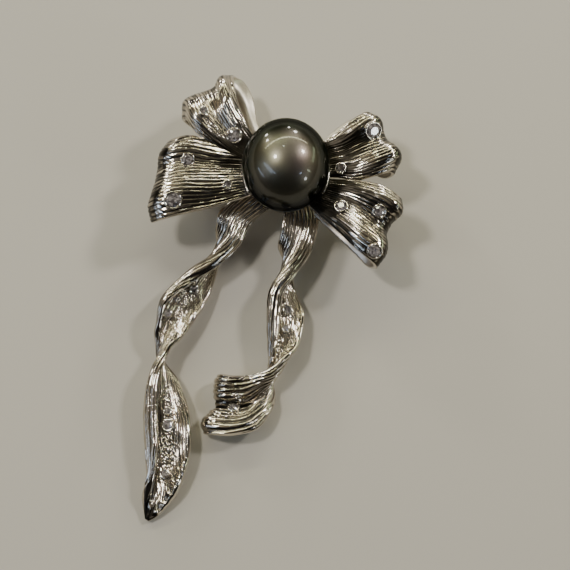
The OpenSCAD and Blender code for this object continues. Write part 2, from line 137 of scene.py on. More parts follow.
def drift(seed, x, y):
    """Smooth random value, -1 to 1, at (x, y): random numbers on a unit grid, blended between the four
    round each point by a curve that is level at each of them. The grid repeats beyond its own size, and
    a number that is added to x or y only picks another part of it."""
    grid = np.random.default_rng(seed).uniform(-1, 1, (DRIFT_GRID, DRIFT_GRID))
    i, j = np.floor(x).astype(int), np.floor(y).astype(int)
    f, g = x - i, y - j
    f, g = f * f * (3 - 2 * f), g * g * (3 - 2 * g)
    i, j, next_i, next_j = (k % DRIFT_GRID for k in (i, j, i + 1, j + 1))
    low = grid[i, j] * (1 - f) + grid[next_i, j] * f
    high = grid[i, next_j] * (1 - f) + grid[next_i, next_j] * f
    return low * (1 - g) + high * g


# How far the ribs wander (share of a rib) and over what length; the mean of their height, how much it
# varies, over what length, and the step in the drift from rib to rib; a tool's marks, their length and
# how many there are to a rib
RIB_WANDERS, WANDER_MM = 0.6, 6
RIB_MEAN, RIB_VARIES, VARY_MM, RIB_APART = 0.68, 0.32, 2.2, 1.7
MARK_MM, MARKS_TO_RIB = 0.9, 3.1


def ribs(seed, u, s, count, power, torn, split=0):
    """Height, 0 to about 1, of hand-cut ribs at u across and s millimetres along. A rib is 1 less a
    power of the share of the way from its middle to its edge: 2 makes it round, and 3 a wide land
    between two narrow grooves. Split, 0 to 1, cuts one more such groove down its middle. The ribs
    wander, and each one's height comes and goes along it. Torn is the height of the tool's marks."""
    w = (u + 1) / 2 * count + RIB_WANDERS * drift(seed, s / WANDER_MM + 40, u * 2 + 40)
    k = np.floor(w)
    ridge = 1 - np.abs(2 * (w - k) - 1) ** power
    ridge = ridge * (1 - split * np.abs(2 * (2 * w - np.floor(2 * w)) - 1) ** power)
    strength = RIB_MEAN + RIB_VARIES * drift(seed + 1, k * RIB_APART, s / VARY_MM)
    return ridge * strength + torn * drift(seed + 2, w * MARKS_TO_RIB, s / MARK_MM)


# Radius of a sheet's edges and ends, the greatest share of a half width that an edge takes, and the
# points round an edge and round an end
EDGE_R, EDGE_MOST, EDGE_POINTS, END_POINTS = 0.3, 0.45, 7, 6


def across_grid(half, n):
    """Places across each section, -1 to 1: even in the middle, and closer at both edges, where they
    follow the cosine of the angle round the edge. Also the sheet's thickness there, as a share: the
    sine of that angle at the edges and 1 between them."""
    e = np.minimum(EDGE_R / half, EDGE_MOST)[:, None]
    angle = np.linspace(0, math.pi / 2, EDGE_POINTS)[None, :]
    left = -1 + e * (1 - np.cos(angle))
    middle = np.linspace(-1, 1, n)[None, 1:-1] * (1 - e)
    u = np.concatenate([left, middle, -left[:, ::-1]], 1)
    thick = np.concatenate([np.sin(angle), np.ones((1, n - 2)), np.sin(angle[:, ::-1])], 1)
    return u, np.repeat(thick, len(half), 0)


def put_in_scene(name, data):
    """A new object in the scene, with its origin at the frame's."""
    made = bpy.data.objects.new(name, data)
    bpy.context.scene.collection.objects.link(made)
    return made


def skin(name, points, faces, **layers):
    """A smooth mesh object of these points, in millimetres, and faces of four corners each. Where a
    corner is the same point as the one before it, it is dropped, so the face has three. Layers are
    values at the points, kept as attributes, and uv is the piece's UV map."""
    used, faces = np.unique(faces, return_inverse=True)
    faces = faces.reshape(-1, 4)
    kept = faces != np.roll(faces, 1, 1)
    sizes = kept.sum(1)
    corners = faces[kept].astype(np.int32)
    points = points[used]
    mesh = bpy.data.meshes.new(name)
    mesh.vertices.add(len(points))
    mesh.vertices.foreach_set("co", (points * MM).astype(np.float32).ravel())
    mesh.loops.add(len(corners))
    mesh.loops.foreach_set("vertex_index", corners)
    mesh.polygons.add(len(faces))
    mesh.polygons.foreach_set("loop_start", (np.cumsum(sizes) - sizes).astype(np.int32))
    mesh.polygons.foreach_set("use_smooth", np.ones(len(faces), bool))
    mesh.update(calc_edges=True)
    mesh.validate()
    for key, values in layers.items():
        if key == "uv":
            layer = mesh.uv_layers.new(name="ribbon")
            layer.data.foreach_set("uv", values[used][corners].astype(np.float32).ravel())
        else:
            layer = mesh.attributes.new(key, "FLOAT", "POINT")
            layer.data.foreach_set("value", values[used].astype(np.float32))
    return put_in_scene(name, mesh)


# The pearl's width, length and the height of its middle, and the gap round it and round a stone
PEARL_W, PEARL_L, PEARL_H, SEAT_GAP = 11.6, 12.6, 10.2, 0.06


def clear_of_pearl(points):
    """Points inside the pearl's seat move straight out from its centre to the seat's surface."""
    axes = np.array([PEARL_W / 2, PEARL_L / 2, PEARL_W / 2]) + SEAT_GAP
    rel = points - np.array([0, 0, PEARL_H])
    share = np.linalg.norm(rel / axes, axis=-1, keepdims=True)
    return np.where(share < 1, rel / np.maximum(share, 1e-6), rel) + np.array([0, 0, PEARL_H])


# Over the middle of a sheet: the rim of a tube setting, the edge and the floor of the seat that is
# drilled for it, and the greatest height at which the drill cuts
RIM_TOP = 0.85
SEAT_EDGE, SEAT_FLOOR, DRILL_TOP = RIM_TOP - 0.2, -0.18, 1.2
# Lengths over which a sheet wanders from true, the points on which a ribbon's length is measured, and
# the least half width
BUCKLE_ACROSS, BUCKLE_ALONG, MEASURED, HALF_LEAST = 1.9, 3.4, 1201, 0.05


def ribbon_piece(name, rows, ruffle, sections, across, buckled, relief, seats):
    """A ribbon as one closed skin: its outer side, the rounded edge, its inner side and the other edge.
    Each point is the sheet's middle moved along the sheet's normal by half its thickness plus the
    relief. Buckled is how far the sheet wanders from true, in millimetres, and the number of sections
    is the seed for it. The thickness falls to nothing at both ends on a round. Inside a stone's seat
    the points drop along the drill to a cone that rises one for one from the seat's floor."""
    fine = np.linspace(0, 1, MEASURED)
    line = ribbon_middle(rows, ruffle, fine, 0 * fine)
    length = np.concatenate([[0], np.cumsum(np.linalg.norm(np.diff(line, axis=0), axis=-1))])
    end = EDGE_R / length[-1]
    angle = np.linspace(0, math.pi / 2, END_POINTS)
    start = end * (1 - np.cos(angle))
    share = np.concatenate([start, np.linspace(end, 1 - end, sections)[1:-1], 1 - start[::-1]])
    taper = np.concatenate([np.sin(angle), np.ones(sections - 2), np.sin(angle[::-1])])[:, None]
    t = np.interp(share * length[-1], length, fine)
    half = np.maximum(along_rows(rows, t)[:, HALF], HALF_LEAST)
    u, thick = across_grid(half, across)
    s = np.repeat((share * length[-1])[:, None], u.shape[1], 1)
    t = np.repeat(t[:, None], u.shape[1], 1)
    middle = ribbon_middle(rows, ruffle, t, u)
    normal = unit(np.cross(np.gradient(middle, axis=0), np.gradient(middle, axis=1)))
    across_mm = u * half[:, None]
    buckle = buckled * drift(sections, across_mm / BUCKLE_ACROSS + 20, s / BUCKLE_ALONG) * taper
    middle = middle + normal * buckle[..., None]
    sides, layers = [], []
    for face in (1, -1):
        height, *layer = relief(face, t, u, s, half[:, None])
        lift = (SHEET_HALF + height) * thick * taper
        side = middle + normal * (face * lift)[..., None]
        for spot, aim, radius in seats.get(face, []):
            rel = side - spot
            axial = rel @ aim
            radial = np.linalg.norm(rel - axial[..., None] * aim, axis=-1)
            cone = np.maximum(SEAT_EDGE - (radius - radial), SEAT_FLOOR)
            drilled = (radial < radius) & (axial > cone) & (axial < DRILL_TOP)
            side = side + np.where(drilled, cone - axial, 0)[..., None] * aim
        sides.append(clear_of_pearl(side))
        layers.append([(values * thick).ravel() for values in layer])
    rings, wide = u.shape
    index = np.arange(rings * wide).reshape(rings, wide)
    under = index + rings * wide
    under[:, 0], under[:, -1] = index[:, 0], index[:, -1]
    under[0], under[-1] = index[0], index[-1]

    def quads(k, flip):
        """Faces of a grid of points, turned over if they are to look the other way."""
        corners = [k[:-1, :-1], k[1:, :-1], k[1:, 1:], k[:-1, 1:]]
        return np.stack(corners[::-1] if flip else corners, -1).reshape(-1, 4)

    uv = np.stack([across_mm, s], -1).reshape(-1, 2) / 10
    groove, satin, pebbled = (np.concatenate(pair) for pair in zip(*layers))
    return skin(name, np.concatenate([p.reshape(-1, 3) for p in sides]),
                np.concatenate([quads(index, False), quads(under, True)]),
                groove=groove, satin=satin, pebbled=pebbled, uv=np.concatenate([uv, uv + 0.5]))


def plain_loop_rows(rows, reach, width, angle):
    """A loop's table in millimetres and degrees, turned to the loop's direction."""
    rows = np.asarray(rows, float)
    out, side = rows[:, 0] * reach, rows[:, 1] * width / 2
    a = math.radians(angle)
    flat = np.zeros(len(rows))
    return np.stack([
        out * math.cos(a) - side * math.sin(a), out * math.sin(a) + side * math.cos(a),
        LOOP_BACK_H + rows[:, 2] * LOOP_DEPTH, rows[:, 3] * width / 2,
        flat + angle, flat, flat, flat, rows[:, 4]], -1)


# The stones' places on the ribbons, which the tube settings and the drilled seats share. Columns:
# along (share of the table's rows), across, side of the sheet, diameter
SEATS = {
    "loop_upper_left": [[0.335, 0.365, 1, 1.0], [0.160, -0.12, 1, 1.7]],
    "loop_lower_left": [[0.325, -0.38, 1, 1.35], [0.360, 0.665, 1, 1.9], [0.170, 0.42, 1, 0.8]],
    "loop_upper_right": [[0.390, 0.47, 1, 1.95], [0.140, -0.60, 1, 1.1]],
    "loop_lower_right": [[0.210, -0.26, 1, 1.45], [0.380, 0.32, 1, 1.35], [0.410, -0.74, 1, 1.55]],
    "tail_left": [[0.330, -0.28, -1, 0.85], [0.413, 0.12, -1, 0.9], [0.687, 0.32, 1, 0.7],
                  [0.716, 0.30, 1, 1.2], [0.820, 0.22, 1, 0.85]],
    "tail_right": [[0.368, -0.36, -1, 1.0], [0.417, -0.30, -1, 0.7], [0.790, 0.12, 1, 1.1]],
}
stone_places = []
# The drill's clearance round a tube, and the steps along and across for the direction of a seat
DRILL_GAP, SEAT_STEP_ALONG, SEAT_STEP_ACROSS = 0.02, 0.02, 0.05


def seats_on(name, rows, ruffle):
    """The seats on a ribbon, as {side: [(place, direction out, radius)]}. The direction is the cross
    product of the steps along and across the sheet, on the stone's side of it."""
    seats = {}
    for t, u, face, d in SEATS[name]:
        def at(dt, du):
            """The sheet's middle this far along and across from the seat."""
            return ribbon_middle(rows, ruffle, np.array(t + dt), np.array(u + du))
        along = at(SEAT_STEP_ALONG, 0) - at(-SEAT_STEP_ALONG, 0)
        across = at(0, SEAT_STEP_ACROSS) - at(0, -SEAT_STEP_ACROSS)
        aim = unit(np.cross(along, across)) * face
        spot = at(0, 0)
        stone_places.append((spot, aim, d))
        seats.setdefault(face, []).append((spot, aim, d / 2 + SEAT_GAP + DRILL_GAP))
    return seats


def step_up(x, low, high):
    """0 below low, 1 above high and a smooth rise between them."""
    f = np.clip((x - low) / (high - low), 0, 1)
    return f * f * (3 - 2 * f)


def grime_with_shade(height, dark):
    """Grime in a relief, with painted shade: the share that is cut away, up to four times as much where
    shade is painted, and up to two fifths more there even on top of the relief."""
    return np.clip(1 - height, 0, 1) * (1 + 3 * dark) + 0.4 * dark


# A rib's height as a share of its spacing. In shares of the loop's rows, the fold's crest and how far
# round it the ribs are worn, then the share that is worn off.
LOOP_RIB_H, FOLD_AT, FOLD_WIDE, FOLD_WORN = 0.25, 0.46, 0.06, 0.65
# Where along the rows the painted shade on the fold starts, is full, begins to go and ends, and the
# mean of its painted patches and how much they vary
FOLD_SHADE_SPAN, PATCH_SHADE_MEAN, PATCH_SHADE_VARIES = (0.42, 0.48, 0.58, 0.70), 0.65, 0.45
# How far the edge of the painted shade by the hub wavers, from where to where round it that shade
# fades, and the height of the waves in a satin face
HUB_SHADE_WAVERS, HUB_SHADE_FADES, SATIN_WAVE = 0.03, (-0.07, 0.03), 0.03


def loop_relief(seed, hub_shade_to, fold_shade):
    """The relief of a loop, as height, grime with painted shade, satin and pebbled at each point: ribs
    outward, worn down round the fold by a bell curve, and within a satin face with faint long waves.
    Painted shade and painted dark reflection lie in patches on the fold's outer face, and painted shade
    lies by the hub out to hub_shade_to, where its edge wavers."""
    def relief(face, t, u, s, half):
        pitch = np.minimum(2 * half / LOOP_RIBS, LOOP_PITCH_MOST)
        if face == 1:
            crest = 1 - FOLD_WORN * np.exp(-((t - FOLD_AT) / FOLD_WIDE) ** 2)
            height = ribs(seed, u, s, LOOP_RIBS, power=3, torn=0.20)
            reach = along_rows(np.array(hub_shade_to)[:, None], (u + 1) / 2)[..., 0]
            # Painted shade by the hub: the shade there and the dark pearl's reflection, painted into
            # the grime
            root = 1 - step_up(t - reach + HUB_SHADE_WAVERS * drift(seed + 6, u * 3, s / 2), *HUB_SHADE_FADES)
            # Painted dark reflection on the fold's outer face, in patches, in place of the pale floor
            # that it mirrors
            fold = fold_shade * step_up(t, *FOLD_SHADE_SPAN[:2]) * (1 - step_up(t, *FOLD_SHADE_SPAN[2:]))
            patch_shade = fold * (PATCH_SHADE_MEAN + PATCH_SHADE_VARIES * drift(seed + 8, u * 3 + 5, s / 1.2))
            # Grime in the grooves together with the painted shade by the hub and on the fold
            grime = grime_with_shade(height, np.maximum(root, 0.6 * fold)) + patch_shade
            return LOOP_RIB_H * pitch * height * crest, grime, 0 * u, 0 * u
        wave = drift(seed + 5, u * 6, s / 5)
        return SATIN_WAVE * wave, 0.15 + 0.1 * wave, 1 + 0 * u, 0 * u
    return relief


def set_sockets(made, values):
    """Sets a node's sockets, by name or number, to plain values."""
    for socket, value in values.items():
        made.inputs[socket].default_value = value


def node(tree, kind, label="", values=None, **settings):
    """A new shader node of this kind, with its properties and the values of its sockets set."""
    made = tree.nodes.new("ShaderNode" + kind)
    made.label = label
    for key, value in settings.items():
        setattr(made, key, value)
    set_sockets(made, values or {})
    return made


def join(tree, *links):
    """Links outputs to inputs, each link given as node, output, node, input."""
    for source, output, target, socket in links:
        tree.links.new(source.outputs[output], target.inputs[socket])


def new_material(name, values):
    """A new material, its node tree and its Principled shader, whose sockets get these values."""
    made = bpy.data.materials.new(name)
    made.use_nodes = True
    shader = made.node_tree.nodes["Principled BSDF"]
    set_sockets(shader, values)
    return made, made.node_tree, shader


# What every polished casting here shows: cloudy plating, soft pits left by the mould, and grime and
# dull metal where the polishing wheel doesn't reach. On the ribbons the grime also carries painted
# shade, which their own values give.
casting = bpy.data.node_groups.new("plated_casting", "ShaderNodeTree")
for way, socket, kind in (
        ("INPUT", "Grime And Shade", "Float"), ("INPUT", "Bright", "Color"), ("INPUT", "Grime", "Color"),
        ("INPUT", "Grain Scale", "Float"), ("INPUT", "Polish", "Float"), ("INPUT", "Satin", "Float"),
        ("OUTPUT", "Color", "Color"), ("OUTPUT", "Roughness", "Float"), ("OUTPUT", "Height", "Float")):
    casting.interface.new_socket(socket, in_out=way, socket_type="NodeSocket" + kind)
given = casting.nodes.new("NodeGroupInput")
result = casting.nodes.new("NodeGroupOutput")
place = node(casting, "TexCoord")
cloud = node(casting, "TexNoise", "cloudy plating", {"Scale": 420, "Detail": 3})
grain = node(casting, "TexNoise", "cast grain", {"Detail": 4})
depth = node(casting, "Math", "grime with the cloud", {2: -0.19}, operation="MULTIPLY_ADD")
dirt_and_shade = node(casting, "Math", "grime kept to the grooves", {1: 2.3}, operation="MULTIPLY",
            use_clamp=True)
tint = node(casting, "Mix", "metal to grime", data_type="RGBA")
dull = node(casting, "Math", "cloud dulls the polish", {1: 0.10}, operation="MULTIPLY_ADD")
duller = node(casting, "Math", "grooves are duller", {1: 0.20}, operation="MULTIPLY_ADD")
satin = node(casting, "Math", "satin faces are duller", {1: 0.28}, operation="MULTIPLY_ADD")
join(casting, (place, "Object", cloud, "Vector"), (place, "Object", grain, "Vector"),
     (given, "Grain Scale", grain, "Scale"), (grain, "Fac", result, "Height"),
     (given, "Grime And Shade", depth, 0), (cloud, "Fac", depth, 1), (depth, "Value", dirt_and_shade, 0),
     (dirt_and_shade, "Value", tint, 0), (given, "Bright", tint, 6), (given, "Grime", tint, 7),
     (tint, 2, result, "Color"), (cloud, "Fac", dull, 0), (given, "Polish", dull, 2),
     (dirt_and_shade, "Value", duller, 0), (dull, "Value", duller, 2), (given, "Satin", satin, 0),
     (duller, "Value", satin, 2), (satin, "Value", result, "Roughness"))

# Pebbles to a centimetre across the ribbon and along it, their height, and the share of a gap's depth
# that counts as grime
PEBBLES_PER_CM, PEBBLE_MM, PEBBLE_GRIME = (34, 22, 1), 0.24, 0.7


def cast_metal(name, bright, grime, polish, grain_scale, grain_mm, groove=True):
    """A plated metal finish. The group gives its colour, roughness and grain, and the grain's height in
    millimetres goes through a Bump node. With groove, the piece's own values tell how much grime and
    painted shade its relief holds, where it is satin and where it is pebbled. A pebble is 1 less a
    share of the squared distance from its middle, and the pebbles are longer along the ribbon than
    across."""
    finish, tree, shader = new_material(name, {"Metallic": 1.0})
    surface = node(tree, "Group", "plated casting", {
        "Bright": (*bright, 1), "Grime": (*grime, 1), "Polish": polish, "Grain Scale": grain_scale,
    }, node_tree=casting)
    bump = node(tree, "Bump", "grain", {"Distance": grain_mm * MM, "Strength": 1.0})
    join(tree, (surface, "Color", shader, "Base Color"), (surface, "Roughness", shader, "Roughness"),
         (surface, "Height", bump, "Height"), (bump, "Normal", shader, "Normal"))
    if not groove:
        return finish
    # These values are the grime in the relief together with painted shade
    grime_and_shade_values = node(tree, "Attribute", "depth of the relief", attribute_name="groove")
    soft = node(tree, "Attribute", "satin faces", attribute_name="satin")
    rough = node(tree, "Attribute", "pebbled faces", attribute_name="pebbled")
    on_ribbon = node(tree, "UVMap", "along the ribbon", uv_map="ribbon")
    stretch = node(tree, "Mapping", "longer along than across", {"Scale": PEBBLES_PER_CM})
    pebbles = node(tree, "TexVoronoi", "pebbles", {"Scale": 1}, voronoi_dimensions="2D")
    squared = node(tree, "Math", "squared distance", operation="MULTIPLY")
    sunk = node(tree, "Math", "gaps between the pebbles", operation="MULTIPLY")
    gaps = node(tree, "Math", "grime in the gaps", {1: PEBBLE_GRIME},
                operation="MULTIPLY_ADD")
    raised = node(tree, "Math", "pebbles over the grain", {1: -PEBBLE_MM / grain_mm},
                  operation="MULTIPLY_ADD")
    join(tree, (soft, "Fac", surface, "Satin"), (on_ribbon, "UV", stretch, "Vector"),
         (stretch, "Vector", pebbles, "Vector"), (pebbles, "Distance", squared, 0),
         (pebbles, "Distance", squared, 1), (squared, "Value", sunk, 0), (rough, "Fac", sunk, 1),
         (sunk, "Value", gaps, 0), (grime_and_shade_values, "Fac", gaps, 2), (gaps, "Value", surface, "Grime And Shade"),
         (sunk, "Value", raised, 0), (surface, "Height", raised, 2), (raised, "Value", bump, "Height"))
    return finish


def finish_piece(piece, material, slot, *nodes):
    """Gives a finished piece its material, hangs it on the root body and hides the CAD parts that it
    replaces.
    """
    piece.data.materials.append(material)
    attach(piece, "root")
    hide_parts(*nodes)


# Its grime colour also paints the shade that the ribbons' own values give
rhodium = cast_metal("ribbed_rhodium", bright=(0.63, 0.575, 0.495), grime=(0.03, 0.026, 0.020),
                     polish=0.05, grain_scale=2600, grain_mm=0.015)
for number, (name, loop) in enumerate(LOOPS.items()):
    loop_rows = plain_loop_rows(loop["rows"], loop["reach"], loop["width"], loop["angle"])
    ruffle = np.array(loop["ruffle"]) * [loop["reach"], LOOP_DEPTH]
    seats = seats_on(name, loop_rows, ruffle)
    relief = loop_relief(100 + 10 * number, loop["hub_shade_to"], loop["fold_shade"])
    piece = ribbon_piece(name, loop_rows, ruffle, LOOP_SECTIONS, LOOP_ACROSS, LOOP_BUCKLE,
                         relief, seats)
    finish_piece(piece, rhodium, "bow_metal", "bow")

# The two tails
# Each tail is the same ribbed strip, twisted as it falls so that its ribbed and its pebbled side
# come up in turn, with edges curled over. The left one ends in a point and the right one in a wide
# pleated end. They are cast with the loops and plated with them.

FLOOR_Z = -1.25
# Half width, the root's height over the floor, and how far a tail's sheet wanders from true
TAIL_HALF, TAIL_ROOT_H, TAIL_BUCKLE = 3.0, 5.4, 0.06
# Sections along a tail, points across it, its ribs, the widest spacing that counts for their height,
# and their height as a share of the spacing
TAIL_SECTIONS, TAIL_ACROSS, TAIL_RIBS, TAIL_PITCH_MOST, TAIL_RIB_H = 290, 140, 10, 0.8, 0.46
# Columns: across and along (shares of the length), up (share of the root's height), half (share of
# the half width), heading, roll, curl_a, curl_b (degrees), pleat (share of the end's pleat)
TAILS = {
    "tail_left": dict(length=46.0, pleat=[[0, 0], [0, 0]], rows=[
        [-0.075, -0.050, 1.00, 0.72, -128, 0, -20, -20, 0],
        [-0.148, -0.110, 0.92, 0.80, -112, 2, -20, -20, 0],
        [-0.172, -0.165, 0.80, 0.74, -128, 18, -50, -10, 0],
        [-0.214, -0.218, 0.66, 0.76, -142, 70, -100, 100, 0],
        [-0.272, -0.283, 0.52, 1.06, -136, 150, -185, 25, 0],
        [-0.330, -0.366, 0.44, 1.22, -124, 176, -148, 20, 0],
        [-0.349, -0.450, 0.46, 0.80, -116, 205, -135, -15, 0],
        [-0.360, -0.505, 0.48, 0.56, -108, 262, -90, -80, 0],
        [-0.374, -0.580, 0.44, 0.94, -92, 330, 0, -170, 0],
        [-0.370, -0.690, 0.30, 1.42, -88, 360, 20, -190, 0],
        [-0.359, -0.790, 0.23, 1.42, -92, 366, 30, -180, 0],
        [-0.361, -0.890, 0.18, 0.98, -104, 372, 30, -150, 0],
        [-0.385, -0.960, 0.125, 0.44, -120, 372, 0, -50, 0],
        [-0.396, -0.990, 0.10, 0.10, -120, 372, 0, 0, 0]]),
    "tail_right": dict(length=34.4, pleat=[
        [0.004, -0.06], [0.012, 0.06], [0.004, 0.04], [-0.022, -0.15], [-0.008, -0.02], [0.001, 0.06],
        [-0.032, -0.06]], rows=[
        [0.045, -0.070, 1.00, 0.66, -80, 0, -20, -20, 0],
        [0.058, -0.160, 0.94, 0.84, -92, 0, -20, -20, 0],
        [0.036, -0.260, 0.80, 0.80, -104, 12, -50, -20, 0],
        [-0.004, -0.345, 0.66, 0.82, -118, 70, -100, 95, 0],
        [-0.036, -0.436, 0.54, 1.06, -98, 140, -170, 20, 0],
        [-0.032, -0.540, 0.46, 1.22, -88, 170, -190, 15, 0],
        [-0.028, -0.660, 0.44, 0.96, -96, 188, -180, 40, 0],
        [-0.036, -0.762, 0.52, 0.72, -130, 236, -160, 130, 0],
        [-0.090, -0.832, 0.50, 0.86, -150, 325, 20, 35, 0.3],
        [-0.146, -0.880, 0.48, 1.26, -176, 356, 30, -20, 1],
        [-0.202, -0.890, 0.48, 1.40, -190, 360, 30, -40, 1],
        [-0.256, -0.886, 0.46, 1.42, -202, 360, 20, -40, 1],
        [-0.282, -0.882, 0.30, 1.36, -204, 360, 10, -20, 1],
        [-0.262, -0.886, 0.25, 1.24, -204, 360, 10, -20, 0.6]]),
}


def plain_tail_rows(rows, length):
    """A tail's table in millimetres and degrees."""
    rows = np.array(rows, float)
    rows[:, :2] *= length
    rows[:, UP] = FLOOR_Z + rows[:, UP] * TAIL_ROOT_H
    rows[:, HALF] *= TAIL_HALF
    return rows


# Half widths between which each rib is cut once more, and lengths (shares of the rows) over which that
# ends, the number of ribs changes, and the pebbles of the ribbed side start and end
CUT_ONCE, CUT_TWICE = 2.2, 2.8
CUT_ENDS, COUNT_CHANGES, PEBBLES_START, PEBBLES_END = 0.05, 0.22, 0.02, 0.03
# For the ribbed side and the other: the most pebbled that it is, how far out the pebbles go (shares of
# the half width), the share of its grime and painted shade that is left, and how much less is left on
# the pebbles
TAIL_SIDES = {1: (1.0, (0.3, 0.6), 0.86, 0.43), -1: (0.8, (0.3, 0.7), 0.55, 0.28)}


def tail_relief(seed, end_ribs, end_from, fine_to, grain_from, grain_to, dark):
    """The relief of a tail, as height, grime with painted shade, satin and pebbled at each point. The
    number of ribs changes to end_ribs from end_from on, and ribs that are lost run off one edge. Where
    the strip is wide, up to fine_to, each rib is cut once more into two. The ribbed side is pebbled in
    its middle from grain_from to grain_to, and the other side in its middle all along, in patches. Dark
    gives how much painted shade the tail has at a place, on top of the grime in its relief."""
    def relief(face, t, u, s, half):
        split = step_up(half, CUT_ONCE, CUT_TWICE) * (1 - step_up(t, fine_to, fine_to + CUT_ENDS))
        count = TAIL_RIBS + (end_ribs - TAIL_RIBS) * step_up(t, end_from, end_from + COUNT_CHANGES)
        pitch = np.minimum(2 * half / count, TAIL_PITCH_MOST) / (1 + 0.7 * split)
        height = ribs(seed + (face < 0) * 3, u, s, count, power=2, torn=0.12, split=split)
        most, out_to, left, less = TAIL_SIDES[face]
        share = most - most * step_up(np.abs(u), *out_to)
        if face == 1:
            share = share * step_up(t, grain_from - PEBBLES_START, grain_from)
            share = share * (1 - step_up(t, grain_to, grain_to + PEBBLES_END))
        share = np.clip(share * (0.5 + 0.9 * drift(seed + 9, u * 3 + 9, s / 1.5)), 0, 1)
        lift = TAIL_RIB_H * pitch * height * (1 - 0.3 * share)
        return lift, grime_with_shade(height, dark(t, u)) * (left - less * share), 0 * u, share
    return relief


def tip_shade(t, u):
    """The left tail's painted shade: its last tenth, where it narrows to a point."""
    return step_up(t, 0.88, 0.96) + 0 * u


def pleat_shade(t, u):
    """The right tail's painted shade: the bottom of its end's pleat, where the band above shades it."""
    return np.exp(-(u / 0.16) ** 2) * step_up(t, 0.68, 0.76)


TAIL_LOOKS = {
    "tail_left": dict(end_ribs=3, end_from=0.75, fine_to=0.80, grain_from=0.64, grain_to=0.82,
                      dark=tip_shade),
    "tail_right": dict(end_ribs=13, end_from=0.45, fine_to=0.52, grain_from=0.74, grain_to=0.8,
                       dark=pleat_shade),
}
for number, (name, tail) in enumerate(TAILS.items()):
    tail_rows = plain_tail_rows(tail["rows"], tail["length"])
    pleat = np.array(tail["pleat"]) * [tail["length"], TAIL_ROOT_H]
    seats = seats_on(name, tail_rows, pleat)
    relief = tail_relief(200 + 20 * number, **TAIL_LOOKS[name])
    piece = ribbon_piece(name, tail_rows, pleat, TAIL_SECTIONS, TAIL_ACROSS, TAIL_BUCKLE,
                         relief, seats)
    finish_piece(piece, rhodium, "bow_metal", "bow")

# The hub and its cup
# Behind the pearl the loops and tails meet in one shallow bowl with a flat back, turned in the wax
# and cast with them. Its thin rim shows round the pearl, it is open below for the tails, and the peg
# in its middle carries the pearl.

# Diameters of the bowl's foot and of its flat back, and the height of that back
HUB_D, HUB_BACK_D, HUB_Z = 9.0, 7.2, 1.95
# The cup's wall, its greatest width at the mouth as a share of that, and the height of its rim
CUP_WALL, MOUTH_MOST, CUP_RIM = 0.4, 1.07, PEARL_H - 1.8
# Height of the rim at the opening for the tails, half the opening's angle, and degrees over which the
# rim rises beside it
GATE_RIM, GATE_ANGLE, GATE_RISE = FLOOR_Z + TAIL_ROOT_H, 53.0, 7
PEG_R, PEG_DEPTH, PEG_BEVEL = 0.6, 4.0, 0.15
# Points round the hub, and rings on each of its walls, over its rim and on its back
HUB_TURNS, WALL_RINGS, OVER_RINGS, BACK_RINGS = 192, 24, 8, 6


def around(profile, turns, long=1.0):
    """Points of a shape turned round the Z axis. Profile holds a radius and a height for each ring and
    each turn, and the turned shape is then stretched along Y."""
    radius, height = profile[..., 0], profile[..., 1]
    return np.stack([radius * np.cos(turns), radius * np.sin(turns) * long, height], -1)


def turned_faces(rings, sides):
    """Faces of a turned shape whose rings run from one pole to the other. All the points of a pole's
    ring are one point, so the faces there have three different corners."""
    index = np.arange(rings * sides).reshape(rings, sides)
    index[0], index[-1] = index[0, 0], index[-1, 0]
    nxt = np.roll(index, -1, 1)
    return np.stack([index[:-1], nxt[:-1], nxt[1:], index[1:]], -1).reshape(-1, 4)


def ball_section(radius, z):
    """Radius at height z of a ball of this radius round the pearl's middle: the square root of the
    squared radius less the squared height from the middle."""
    return np.sqrt(np.maximum(radius**2 - (z - PEARL_H) ** 2, 0))


# Rings of the hub from the middle of its back to the top of its peg. Outside, the wall is the wider of
# a ball round the pearl's seat and a cone from the foot to the back. Its rim is half a round, lower at
# the opening, and inside it follows the seat's ball down to the peg, cut off at the rim's height.
turns = np.linspace(0, 2 * math.pi, HUB_TURNS, endpoint=False)
from_gate = np.abs((np.degrees(turns) - 270 + 180) % 360 - 180)
rim_z = GATE_RIM + (CUP_RIM - GATE_RIM) * step_up(from_gate, GATE_ANGLE, GATE_ANGLE + GATE_RISE)
inner_r = PEARL_W / 2 + SEAT_GAP
outer_r = inner_r + CUP_WALL
foot_z = PEARL_H - math.sqrt(outer_r**2 - (HUB_D / 2) ** 2)
shoulder_z = rim_z - CUP_WALL / 2
rise = np.linspace(0, 1, WALL_RINGS)[:, None]
wall_z = HUB_Z + (shoulder_z - HUB_Z) * rise
cone_r = np.interp(wall_z, [HUB_Z, foot_z], [HUB_BACK_D / 2, HUB_D / 2])
wall_r = np.maximum(ball_section(outer_r, wall_z), cone_r)
mouth_r = np.maximum(ball_section(inner_r, shoulder_z), wall_r[-1] - MOUTH_MOST * CUP_WALL)
start, end = np.arccos(mouth_r / inner_r), math.acos(PEG_R / inner_r)
down = start + (end - start) * rise
bowl_z = np.minimum(rim_z, PEARL_H - inner_r * np.sin(down))
over = np.linspace(0, math.pi, OVER_RINGS)[1:-1, None]
below = np.where(over < math.pi / 2, shoulder_z, bowl_z[0])
flat = np.linspace(0, 1, BACK_RINGS)[:-1, None] + 0 * turns
peg_top = PEARL_H - PEARL_W / 2 + PEG_DEPTH
peg = np.array([[PEG_R, peg_top - PEG_BEVEL], [PEG_R - PEG_BEVEL, peg_top], [0, peg_top]])
